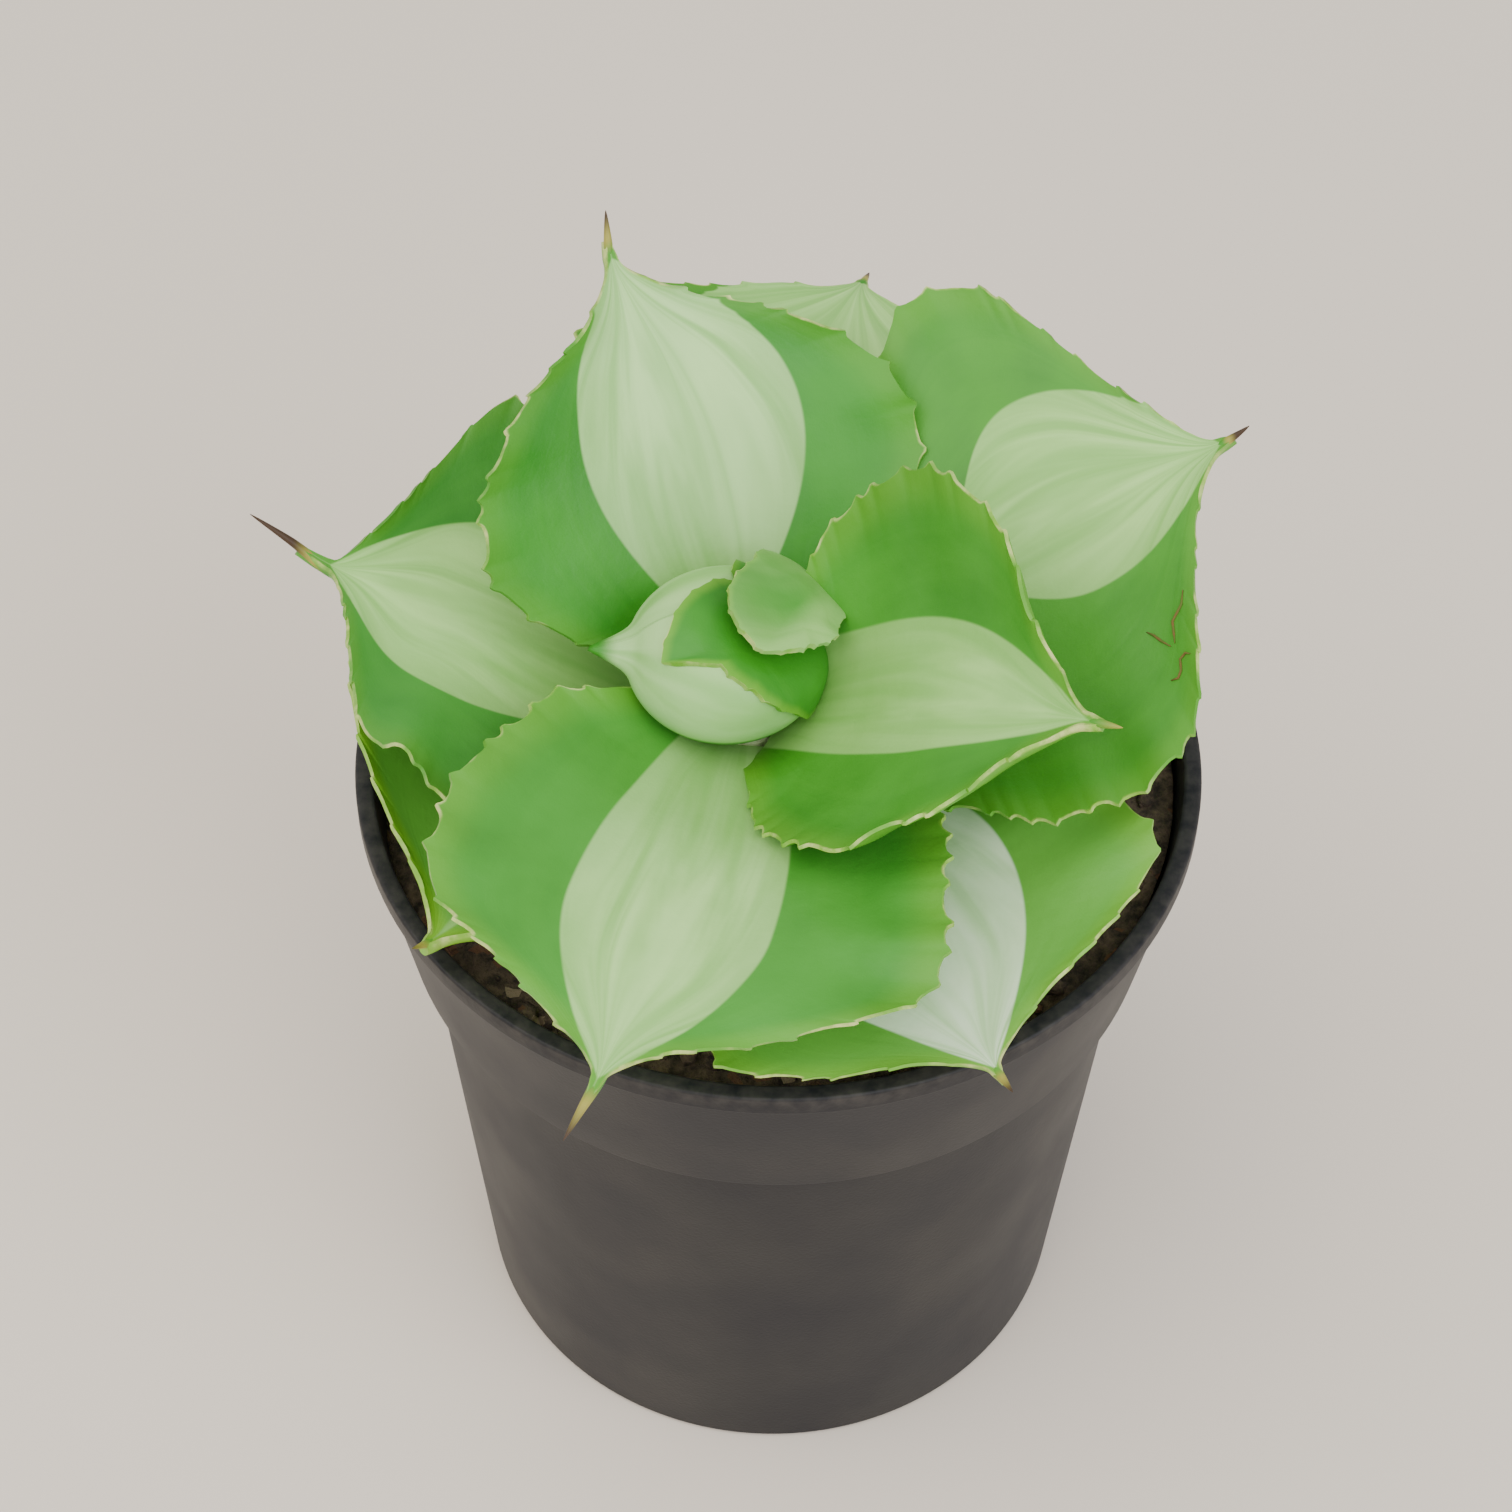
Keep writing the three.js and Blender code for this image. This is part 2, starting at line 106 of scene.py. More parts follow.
# ---- leaves ----
# Each open leaf, youngest first, from azimuth to veer with the part's own sizes, except that the
# outer front one is widest nearer its tip. The pale mark on its blade is given as its start and its
# widest place along the blade, its width at the start as a share of its widest, and its greatest
# half width to the right and left as shares of the blade's. Then how blue and how faded the green
# is, how white the wax on the mark, how golden the margin, and how dark the spine. The fading and
# the white wax are partly painted light, which lifts leaves and marks that lie in shade, most of
# all on the outer front leaf.
# Two leaves have a lobe, which is how much fuller than the part's the left side is, near the foot
# and past the middle. Two have a heel, which is how far the foot swells up against the stem.
OPEN_LEAVES = [
    dict(name="inner_leaf_right", azimuth=-34, turn=3, foot=10, climb=(45, 23), length=55, half=30,
         waist=0.58, widest=0.48, gutter=(46, 44), roll=26, skew=0.1, spine=7, lift=-12, veer=0,
         mark=(-0.1, 0.45, 0.6, 0.22, 0.44), cool=0.1, fade_and_painted_light=0.1, bloom_and_painted_light=0, gold=0.5, horn=0.3, heel=2),
    dict(name="inner_leaf_back", azimuth=106, turn=17, foot=8, climb=(50, 45), length=61, half=34,
         waist=0.37, widest=0.46, gutter=(28, 21), roll=2, skew=0, spine=9, lift=8, veer=-16,
         mark=(0.1, 0.58, 0.15, 0.56, 0.42), cool=0.35, fade_and_painted_light=0, bloom_and_painted_light=0.1, gold=0.3, horn=0.8),
    dict(name="inner_leaf_front", azimuth=257, turn=-1, foot=7, climb=(30, -4), length=70, half=34.5,
         waist=0.7, widest=0.62, gutter=(43, 3), roll=-6, skew=0.09, spine=12, lift=-6, veer=-12,
         mark=(0, 0.6, 0.5, 0.35, 0.44), cool=0.5, fade_and_painted_light=0.1, bloom_and_painted_light=0.05, gold=0.5, horn=0.8, heel=2.5),
    dict(name="outer_leaf_right", azimuth=24, turn=-9, foot=4, climb=(42, 16), length=72, half=45.5,
         waist=0.4, widest=0.57, gutter=(27, 17), roll=9, skew=-0.05, spine=7.5, lift=26, veer=0,
         mark=(0.42, 0.68, 0, 0.29, 0.43), cool=0, fade_and_painted_light=0.15, bloom_and_painted_light=0, gold=0.3, horn=1.4, lobe=(-0.62, 0)),
    dict(name="outer_leaf_left", azimuth=164, turn=4, foot=1, climb=(33, 10), length=57, half=35.5,
         waist=0.5, widest=0.72, gutter=(29, 20), roll=3, skew=-0.04, spine=15.5, lift=28, veer=0,
         mark=(0.15, 0.62, 0.3, 0.48, 0.47), cool=0.45, fade_and_painted_light=0, bloom_and_painted_light=0, gold=0.3, horn=1.6, lobe=(0.8, 0)),
    dict(name="outer_leaf_front", azimuth=300, turn=-2, foot=-1, climb=(17, -1), length=62, half=34,
         waist=0.5, widest=0.7, gutter=(36, 4), roll=7, skew=0.07, spine=7, lift=8, veer=0,
         mark=(0.1, 0.48, 0.5, 0.46, 0.57), cool=0.2, fade_and_painted_light=0.6, bloom_and_painted_light=0.75, gold=0.7, horn=0.8),
    dict(name="outer_leaf_back", azimuth=79, turn=-4, foot=-2, climb=(59, -21), length=79, half=36,
         waist=0.5, widest=0.56, gutter=(27, 22), roll=3, skew=0, spine=8, lift=0, veer=0,
         mark=(0.3, 0.62, 0.3, 0.6, 0.7), cool=0.2, fade_and_painted_light=0, bloom_and_painted_light=0, gold=0.3, horn=1),
    dict(name="outer_leaf_low", azimuth=218, turn=11, foot=-2.5, climb=(21, -3), length=50, half=38,
         waist=0.5, widest=0.58, gutter=(33, 52), roll=3, skew=-0.06, spine=6, lift=30, veer=0,
         mark=(0, 0.3, 0.6, 0.1, 0.1), cool=0, fade_and_painted_light=0.6, bloom_and_painted_light=0, gold=1.8, horn=0.6),
]

# The two rolled leaves round the heart: the middle of each as (angle down from the bud's top,
# bearing), and its margin as (direction round that middle, angle out from it).
WRAPPED_LEAF = dict(
    middle=(38, -20),
    margin=((0, 76), (44, 89), (69, 100), (95, 98), (119, 75), (141, 53), (171, 57), (206, 66), (225, 74),
            (230, 56), (240, 43), (276, 40), (302, 46), (326, 55), (343, 72)),
)
HOODED_LEAF = dict(
    middle=(38, 8),
    margin=((0, 29), (25, 40), (50, 58), (75, 54), (100, 40), (125, 31), (150, 32), (185, 37), (206, 38),
            (238, 38), (252, 31), (278, 24), (320, 24), (345, 25)),
)


# ---- small helpers ----
def mix(a, b, t):
    """The number that lies a share t of the way from a to b."""
    return a + (b - a) * t


def smooth(low, high, x):
    """Eases from 0 to 1 as x goes from low to high."""
    t = min(1, max(0, (x - low) / (high - low)))
    return t * t * (3 - 2 * t)


def outline(leaf, t):
    """The blade's half width at a share t of its length, as a share of its greatest."""
    foot = mix(FOOT_SHARE, 1, min(1, t / FOOT_LENGTH))
    if t < leaf["widest"]:
        return foot * mix(leaf["waist"], 1, math.sin(math.pi / 2 * t / leaf["widest"]) ** 1.3)
    return max(0, 1 - ((t - leaf["widest"]) / (1 - leaf["widest"])) ** 2) ** 1.35


def heading(leaf, t):
    """Unit vectors ahead, to the left side and up off the blade, at a share of its length."""
    climb = math.radians(mix(*leaf["climb"], t))
    bearing = math.radians(leaf["azimuth"] + leaf["turn"] * t)
    level = Vector((-math.sin(bearing), math.cos(bearing), 0))
    outward = Vector((math.cos(bearing), math.sin(bearing), 0))
    ahead = outward * math.cos(climb) + Vector((0, 0, math.sin(climb)))
    tilt = Matrix.Rotation(math.radians(leaf["roll"]), 3, ahead)
    side = tilt @ level
    up = tilt @ ahead.cross(level)
    aim = ahead + up * math.tan(math.radians(leaf["lift"])) + side * math.tan(math.radians(leaf["veer"]))
    return ahead.lerp(aim.normalized(), smooth(*SPINE_TURN, t)).normalized(), side, up


def reach(leaf):
    """The share of the blade's length by which its spine goes on past it."""
    return leaf["spine"] / leaf["length"] - SPINE_OVERLAP


def midrib(leaf):
    """The line of the midrib, from the stem on past the spine's point."""
    bearing = math.radians(leaf["azimuth"])
    out = STEM_RADIUS + CLEARANCE
    points = [Vector((STEM_X + out * math.cos(bearing), out * math.sin(bearing), POT_HEIGHT + leaf["foot"]))]
    for i in range(math.ceil(RIB_STEPS * (1 + reach(leaf))) + 1):
        ahead = heading(leaf, (i + 0.5) / RIB_STEPS)[0]
        points.append(points[-1] + ahead * leaf["length"] / RIB_STEPS)
    return points


def rib_place(ribs, t):
    """The place on the midrib at a share t of the blade's length."""
    i = int(t * RIB_STEPS)
    return ribs[i].lerp(ribs[i + 1], t * RIB_STEPS - i)


def sheet_end(leaf):
    """Where the blade's sheet ends, inside the spine."""
    return 1 + 0.35 * reach(leaf)


def blade_half(leaf, t, side):
    """Half width of the blade to one side, before its teeth. Near the tip it hollows into a neck."""
    if t > 1:
        return TIP_RADIUS * mix(1, 0.3, (t - 1) / (sheet_end(leaf) - 1))
    fuller = mix(*leaf.get("lobe", (0, 0)), smooth(0.2, 0.7, t)) * max(0, side)
    hollow = 1 - 0.45 * smooth(0.72, 1, t)
    belly = leaf["half"] * (1 + fuller) * outline(leaf, t) * (1 + leaf["skew"] * side) * hollow
    return math.hypot(belly, mix(NECK_RADIUS, TIP_RADIUS, smooth(0.85, 1, t)))


def blade_point(leaf, ribs, t, s, half):
    """A point of the blade's upper face, and the direction off that face."""
    _, side, up = heading(leaf, t)
    bend = math.radians(mix(*leaf["gutter"], t))
    radius = half / bend
    normal = up * math.cos(s * bend) - side * math.sin(s * bend)
    place = rib_place(ribs, t) + side * radius * math.sin(s * bend) + up * radius * (1 - math.cos(s * bend))
    place += up * leaf.get("heel", 0) * smooth(0.3, 0, t)
    free = smooth(0.2, 0.6, t) * smooth(1, 0.85, t)
    ripple = math.sin(t * leaf["length"] * 0.5 + leaf["azimuth"] + math.copysign(1, s))
    unevenness = RIPPLE * abs(s) ** 3 * ripple + SWELL * noise.noise(place / 14)
    return place + normal * free * unevenness, normal


# ---- making meshes ----
def select_only(*objects):
    bpy.ops.object.select_all(action="DESELECT")
    for obj in objects:
        obj.select_set(True)
    bpy.context.view_layer.objects.active = objects[0]


def put_points(obj, points):
    """Moves the vertices of a mesh to these places, given in millimetres."""
    for vertex, point in zip(obj.data.vertices, points):
        vertex.co = point * MM
    obj.data.update()


def write_attribute(obj, name, values):
    """Gives each vertex a number for the leaf skin to go by. In about millimetres, mark is how far
    it lies inside the pale mark, rim how far inside the margin, and along and across its place on
    the blade. Horn rises along the spine. Cool, the fade, the wax bloom and gold are the same all over
    a leaf, and the fade and the wax bloom are partly painted light that lifts leaves lying in shade."""
    layer = obj.data.attributes.new(name, "FLOAT", "POINT")
    layer.data.foreach_set("value", values)


def apply(obj, kind, **settings):
    """Gives the object a modifier and applies it."""
    select_only(obj)
    modifier = obj.modifiers.new(kind, kind)
    for name, value in settings.items():
        setattr(modifier, name, value)
    bpy.ops.object.modifier_apply(modifier=modifier.name)


def join(name, *objects):
    select_only(*objects)
    if len(objects) > 1:
        bpy.ops.object.join()
    joined = bpy.context.object
    joined.name = joined.data.name = name
    return joined


def close_seams(obj):
    """Merges the vertices that lie on each other, and turns the faces one way."""
    select_only(obj)
    bpy.ops.object.mode_set(mode="EDIT")
    bpy.ops.mesh.select_all(action="SELECT")
    bpy.ops.mesh.remove_doubles(threshold=0.001 * MM)
    bpy.ops.mesh.normals_make_consistent(inside=False)
    bpy.ops.object.mode_set(mode="OBJECT")


def finish(obj, material, node):
    """Gives a piece its material, and lets it stand for a node of the part."""
    obj.data.materials.clear()
    obj.data.materials.append(material)
    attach(obj, "root")
    if node:
        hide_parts(node)


def raised(name, profile, segments):
    """A round closed solid. A disc is the underside, and its rim is extruded up the profile."""
    bpy.ops.object.select_all(action="DESELECT")
    radius, height = profile[0]
    bpy.ops.mesh.primitive_circle_add(
        vertices=segments, radius=radius * MM, fill_type="NGON", location=(0, 0, height * MM)
    )
    bpy.ops.object.transform_apply(location=True)
    bpy.ops.object.mode_set(mode="EDIT")
    bpy.ops.mesh.select_mode(type="EDGE")
    bpy.ops.mesh.select_all(action="SELECT")
    for next_radius, next_height in profile[1:]:
        bpy.ops.mesh.extrude_edges_move(TRANSFORM_OT_translate={"value": (0, 0, (next_height - height) * MM)})
        share = next_radius / radius
        bpy.ops.transform.resize(value=(share, share, 1), center_override=(0, 0, 0))
        radius, height = next_radius, next_height
    bpy.ops.mesh.edge_face_add()
    bpy.ops.mesh.select_all(action="SELECT")
    bpy.ops.mesh.normals_make_consistent(inside=False)
    bpy.ops.object.mode_set(mode="OBJECT")
    return join(name, bpy.context.object)


# ---- materials ----
def colour(code):
    """A linear colour from a hexadecimal screen colour."""
    parts = [int(code[i:i + 2], 16) / 255 for i in (1, 3, 5)]
    return [p / 12.92 if p <= 0.04045 else ((p + 0.055) / 1.055) ** 2.4 for p in parts] + [1]


def add(tree, kind, inputs=None, **settings):
    """Adds a node, sets it up, and gives each input its value or its link."""
    made = tree.nodes.new("ShaderNode" + kind)
    for name, value in settings.items():
        setattr(made, name, value)
    for name, value in (inputs or {}).items():
        if isinstance(value, bpy.types.NodeSocket):
            tree.links.new(value, made.inputs[name])
        else:
            made.inputs[name].default_value = value
    return made.outputs


def surface(name):
    """A new material, its empty node tree, and the place on the piece that its patterns go by."""
    material = bpy.data.materials.new(name)
    material.use_nodes = True
    tree = material.node_tree
    tree.nodes.clear()
    return material, tree, add(tree, "TexCoord")["Object"]


def lay(tree, under, over, value, low, high, least=0, most=1, times=None):
    """Lays one colour over another. Its share eases from the least to the most as the value goes from
    low to high, and is multiplied by a second value if there is one."""
    limits = {"Value": value, "From Min": low, "From Max": high, "To Min": least, "To Max": most}
    share = add(tree, "MapRange", limits, interpolation_type="SMOOTHSTEP")["Result"]
    if times is not None:
        share = add(tree, "Math", {0: times, 1: share}, operation="MULTIPLY")[0]
    return add(tree, "Mix", {0: share, 6: under, 7: over}, data_type="RGBA")[2]


def close(tree, relief=None, depth=0, **inputs):
    """Ends a material with its shader, and with relief this many millimetres deep."""
    named = {name.replace("_", " "): value for name, value in inputs.items()}
    if relief is not None:
        pressed = add(tree, "Bump", {"Height": relief, "Distance": depth * MM, "Strength": 1})
        named["Normal"] = pressed["Normal"]
    shader = add(tree, "BsdfPrincipled", named)
    add(tree, "OutputMaterial", {"Surface": shader["BSDF"]})


def leaf_skin():
    """Waxy leaf skin: mottled green, a crisp pale mark with fine lengthwise streaks, a thin
    straw-coloured margin, and a spine that turns from green through straw to dark brown."""
    material, tree, place = surface("waxy_leaf_skin")
    mark, rim, along, across, horn, cool, fade_and_painted_light, bloom_and_painted_light, gold = [
        add(tree, "Attribute", attribute_name=name)["Fac"]
        for name in ("mark", "rim", "along", "across", "horn", "cool", "fade_and_painted_light", "bloom_and_painted_light", "gold")
    ]
    mottle = add(tree, "TexNoise", {"Vector": place, "Scale": 1 / (16 * MM), "Detail": 3})["Fac"]
    flecks = add(tree, "TexNoise", {"Vector": place, "Scale": 1 / (3 * MM), "Detail": 4,
                                    "Roughness": 0.6})["Fac"]
    nibbles = add(tree, "TexNoise", {"Vector": place, "Scale": 1 / (7 * MM), "Detail": 3})["Fac"]
    # A streak is about 6 mm wide across the blade, with finer ones in it, and 50 mm long.
    blade_place = add(tree, "CombineXYZ", {"X": across, "Y": along, "Z": cool})["Vector"]
    drawn_out = add(tree, "Mapping", {"Vector": blade_place, "Scale": (0.17, 0.02, 1)})["Vector"]
    streaks = add(tree, "TexNoise", {"Vector": drawn_out, "Scale": 1, "Detail": 3, "Roughness": 0.55,
                                     "Distortion": 0.8})["Fac"]

    # The green is mottled and streaked, then bluer, more faded and more golden as each leaf says. The
    # fading is partly painted light on leaves that lie in shade.
    green = lay(tree, colour("#267c09"), colour("#3b9418"), mottle, 0.3, 0.7)
    green = lay(tree, green, colour("#50a528"), streaks, 0.3, 0.75, most=0.25)
    green = lay(tree, green, colour("#489a3c"), mottle, 0.2, 0.8, least=0.5, times=cool)
    # Partly painted light: the fade pales leaves that lie in shade, most of all the outer front and low ones.
    green = add(tree, "Mix", {0: fade_and_painted_light, 6: green, 7: colour("#7cc04f")}, data_type="RGBA")[2]
    green = lay(tree, green, colour("#86c22e"), rim, 7, 0.5, most=0.6, times=gold)

    # The mark is streaked and mottled and darker towards its own edge. Painted shade darkens it towards
    # the leaf's foot, where the leaves crowd round the bud, and its white wax partly stands in for painted
    # light.
    pale = lay(tree, colour("#8bc95f"), colour("#bdef8c"), streaks, 0.3, 0.72)
    pale = lay(tree, pale, colour("#9bcf72"), mottle, 0.35, 0.75, most=0.4)
    # Painted shade, which deepens from 42 mm to 10 mm from the leaf's foot.
    pale = lay(tree, pale, colour("#6ea845"), along, 42, 10, most=0.6)
    pale = lay(tree, pale, colour("#86bf5c"), mark, 7, 0, most=0.4)
    # Partly painted light: the white wax, strongest on the outer front leaf, also lifts marks that lie in
    # shade.
    pale = lay(tree, pale, colour("#ecffda"), streaks, 0.3, 0.65, least=0.5, most=1.2, times=bloom_and_painted_light)
    skin = lay(tree, green, pale, mark, -0.25, 0.3)

    # The straw-coloured margin is about 1 mm wide, and nibbled along its inner side.
    straw = lay(tree, colour("#8fbf3c"), colour("#e2e691"), flecks, 0.35, 0.65)
    worn = add(tree, "Math", {0: nibbles, 1: 2, 2: rim}, operation="MULTIPLY_ADD")[0]
    skin = lay(tree, skin, straw, worn, 1.3, 0.75, most=0.85)
    skin = lay(tree, skin, colour("#a8a045"), horn, 0.02, 0.35)
    skin = lay(tree, skin, colour("#45301c"), horn, 0.3, 0.75)

    gloss = add(tree, "MapRange", {"Value": mottle, "From Min": 0.2, "From Max": 0.8, "To Min": 0.38,
                                   "To Max": 0.52}, interpolation_type="SMOOTHSTEP")["Result"]
    wax = add(tree, "Math", {0: streaks, 1: 0.8, 2: flecks}, operation="MULTIPLY_ADD")[0]
    close(tree, wax, 0.12, Base_Color=skin, Roughness=gloss, Specular_IOR_Level=0.38)
    return material


def pot_plastic():
    """Injection-moulded dark grey polypropylene: satin, with faint cloudy wear, dust by the rim and
    a fine grain, which is drawn coarser than it is so that it shows."""
    material, tree, place = surface("dark_grey_moulded_plastic")
    clouds = add(tree, "TexNoise", {"Vector": place, "Scale": 1 / (25 * MM), "Detail": 4})["Fac"]
    grain = add(tree, "TexNoise", {"Vector": place, "Scale": 1 / (0.5 * MM)})["Fac"]
    specks = add(tree, "TexNoise", {"Vector": place, "Scale": 1 / (2 * MM), "Detail": 3})["Fac"]
    height = add(tree, "SeparateXYZ", {"Vector": place})["Z"]
    near_rim = add(tree, "MapRange", {"Value": height, "From Min": (POT_HEIGHT - DUSTY_BAND) * MM,
                                      "From Max": POT_HEIGHT * MM},
                   interpolation_type="SMOOTHSTEP")["Result"]
    dust = add(tree, "Math", {0: near_rim, 1: specks}, operation="MULTIPLY")[0]
    base = lay(tree, colour("#0f1015"), colour("#16171e"), clouds, 0.3, 0.7)
    base = lay(tree, base, colour("#56514b"), dust, 0.1, 0.9, most=0.5)
    gloss = add(tree, "MapRange", {"Value": clouds, "From Min": 0.2, "From Max": 0.8, "To Min": 0.42,
                                   "To Max": 0.55}, interpolation_type="SMOOTHSTEP")["Result"]
    close(tree, grain, 0.03, Base_Color=base, Roughness=gloss, Specular_IOR_Level=0.25)
    return material


def potting_soil():
    """Damp dark peat: brown crumbs over near black, with redder and paler bits."""
    material, tree, place = surface("damp_peat")
    crumbs = add(tree, "TexNoise", {"Vector": place, "Scale": 1 / (2.2 * MM), "Detail": 5,
                                    "Roughness": 0.65})["Fac"]
    bits = add(tree, "TexVoronoi", {"Vector": place, "Scale": 1 / (1.8 * MM)})["Color"]
    kind = add(tree, "SeparateColor", {"Color": bits})["Red"]
    base = lay(tree, colour("#2c241d"), colour("#6d5a48"), crumbs, 0.3, 0.7)
    base = lay(tree, base, colour("#7d5238"), kind, 0.86, 0.9, most=0.6)
    base = lay(tree, base, colour("#9c8a70"), kind, 0.965, 0.975, most=0.8)
    close(tree, crumbs, 0.8, Base_Color=base, Roughness=0.95)
    return material


def stem_flesh():
    """Pale plant flesh: yellow-green, with fine upright fibres."""
    material, tree, place = surface("pale_stem_flesh")
    stretched = add(tree, "Mapping", {"Vector": place, "Scale": (1, 1, 0.15)})["Vector"]
    fibres = add(tree, "TexNoise", {"Vector": stretched, "Scale": 1 / (1.2 * MM), "Detail": 3})["Fac"]
    base = lay(tree, colour("#7d8b55"), colour("#a9b783"), fibres, 0.3, 0.7)
    close(tree, fibres, 0.2, Base_Color=base, Roughness=0.6)
    return material


def scar_cork():
    """Healed leaf skin: rough brown-green cork."""
    material, tree, place = surface("corky_scar")
    flecks = add(tree, "TexNoise", {"Vector": place, "Scale": 1 / MM, "Detail": 3})["Fac"]
    base = lay(tree, colour("#5b6b22"), colour("#7c5a2c"), flecks, 0.3, 0.7)
    close(tree, flecks, 0.1, Base_Color=base, Roughness=0.8)
    return material


def pale_floor():
    """Matt pale board: nearly even, with broad faint clouds."""
    material, tree, place = surface("pale_floor")
    clouds = add(tree, "TexNoise", {"Vector": place, "Scale": 1 / (300 * MM)})["Fac"]
    base = add(tree, "Mix", {0: clouds, 6: colour("#f0e2cf"), 7: colour("#f6e9d8")}, data_type="RGBA")[2]
    close(tree, Base_Color=base, Roughness=0.8)
    return material


LEAF_SKIN = leaf_skin()
POT_PLASTIC = pot_plastic()
POTTING_SOIL = potting_soil()
STEM_FLESH = stem_flesh()
SCAR_CORK = scar_cork()


# ---- pot ----
collar_bottom = POT_HEIGHT - COLLAR_HEIGHT
body_top = BASE_RADIUS + collar_bottom * BODY_SLOPE
collar_foot = body_top + COLLAR_STEP
collar_top = RIM_RADIUS - LIP_OVERHANG
lip_bottom = POT_HEIGHT - LIP_HEIGHT
inner_step = collar_bottom + WALL


def inside_radius(z):
    if z < inner_step:
        return mix(BASE_RADIUS, body_top, z / inner_step) - WALL
    return mix(collar_foot, collar_top, (z - inner_step) / (lip_bottom - inner_step)) - WALL


def make_pot():
    profile = [
        (BASE_RADIUS, 0),
        (body_top, collar_bottom),
        (collar_foot, collar_bottom),
        (collar_top, lip_bottom),
        (RIM_RADIUS, lip_bottom),
        (RIM_RADIUS, POT_HEIGHT),
        (collar_top - WALL, POT_HEIGHT),
        (inside_radius(inner_step), inner_step),
        (body_top - WALL, inner_step),
        (inside_radius(FLOOR), FLOOR),
    ]
    pot = raised("pot_shell", profile, 160)
    apply(pot, "BEVEL", width=POT_BEVEL * MM, segments=4, limit_method="ANGLE", angle_limit=math.radians(35))
    for i in range(DRAIN_COUNT):
        bearing = math.tau * i / DRAIN_COUNT
        bpy.ops.object.select_all(action="DESELECT")
        bpy.ops.mesh.primitive_cylinder_add(
            vertices=40, radius=DRAIN_RADIUS * MM, depth=4 * FLOOR * MM,
            location=(DRAIN_CIRCLE * math.cos(bearing) * MM, DRAIN_CIRCLE * math.sin(bearing) * MM, 0),
        )
        plug = bpy.context.object
        apply(pot, "BOOLEAN", object=plug, operation="DIFFERENCE")
        bpy.data.objects.remove(plug)
    select_only(pot)
    bpy.ops.object.shade_smooth_by_angle(angle=math.radians(40))
    finish(pot, POT_PLASTIC, "pot")


# ---- soil ----
def soil_height(x, y):
    """Height of the soil's surface, with its lumps and hollows."""
    edge = inside_radius(POT_HEIGHT - SOIL_BELOW_RIM) - CLEARANCE
    share = min(1, math.hypot(x, y) / edge)
    place = Vector((x, y, 0))
    lumps = noise.noise(place / 9) * 0.9 + noise.noise(place / 3.5) * 0.6 + noise.noise(place / 1.6) * 0.35
    heap = SOIL_HEAP * smooth(0.7, 1, share) * smooth(0.3, 1, math.cos(math.atan2(y, x) - 0.1))
    return POT_HEIGHT - SOIL_BELOW_RIM + SOIL_MOUND * (1 - share ** 2) + lumps + heap


def make_soil():
    deepest = FLOOR + CLEARANCE
    step = inner_step + CLEARANCE
    top = POT_HEIGHT - SOIL_BELOW_RIM
    edge = inside_radius(top) - CLEARANCE
    rings = 44
    profile = [
        (inside_radius(deepest) - CLEARANCE, deepest),
        (body_top - WALL - CLEARANCE, step),
        (inside_radius(inner_step) - CLEARANCE, step),
    ] + [(edge * (1 - i / rings), top) for i in range(rings)]
    body = raised("soil_body", profile, 200)
    for vertex in body.data.vertices:
        if vertex.co.z > (top - 1) * MM:
            vertex.co.z = soil_height(vertex.co.x / MM, vertex.co.y / MM) * MM
    select_only(body)
    bpy.ops.object.shade_smooth()
    finish(body, POTTING_SOIL, "soil")


def make_crumbs():
    """Loose crumbs and short fibres on the soil, each a copy of a lumpy ball."""
    random.seed(11)
    bpy.ops.object.select_all(action="DESELECT")
    bpy.ops.mesh.primitive_uv_sphere_add(segments=8, ring_count=5, radius=1)
    ball = bpy.context.object
    for vertex in ball.data.vertices:
        vertex.co *= 1 + 0.45 * noise.noise(vertex.co * 1.7)
    crumbs = []
    farthest = inside_radius(POT_HEIGHT - SOIL_BELOW_RIM) - 3
    for i in range(CRUMB_COUNT):
        bearing = random.uniform(0, math.tau)
        out = farthest * math.sqrt(random.uniform(0.15, 1))
        x, y = out * math.cos(bearing), out * math.sin(bearing)
        size = random.uniform(0.4, 1.0) ** 2 * 2
        # Every sixth one is a fibre.
        shape = (size * 3, size * 0.5, size * 0.4) if i % 6 == 0 else (size, size * 0.8, size * 0.7)
        spin = Matrix.Rotation(random.uniform(0, math.tau), 4, "Z")
        lean = Matrix.Rotation(random.uniform(-0.5, 0.5), 4, "Y")
        place = Matrix.Translation(Vector((x, y, soil_height(x, y) + size * 0.25)) * MM)
        crumb = ball.copy()
        crumb.data = ball.data.copy()
        crumb.data.transform(place @ spin @ lean @ Matrix.Diagonal((*shape, 1)) @ Matrix.Scale(MM, 4))
        bpy.context.collection.objects.link(crumb)
        crumbs.append(crumb)
    bpy.data.objects.remove(ball)
    loose = join("soil_crumbs", *crumbs)
    bpy.ops.object.shade_smooth()
    finish(loose, POTTING_SOIL, None)


# ---- open leaves ----
ROWS = 220
COLUMNS = 60


def margin_run(leaf):
    """Distances along the margin for even shares of the blade's length."""
    fine = 600
    shares = [sheet_end(leaf) * i / fine for i in range(fine + 1)]
    runs = [0]
    for a, b in zip(shares, shares[1:]):
        widening = blade_half(leaf, b, 0) - blade_half(leaf, a, 0)
        runs.append(runs[-1] + math.hypot((b - a) * leaf["length"], widening))
    return shares, runs


def teeth_places(total):
    """Places of the teeth along a margin, unevenly spaced."""
    places = [TOOTH_SPACING * random.uniform(1.5, 2.5)]
    while places[-1] < total - 4:
        places.append(places[-1] + TOOTH_SPACING * random.uniform(0.5, 1.6))
    return places


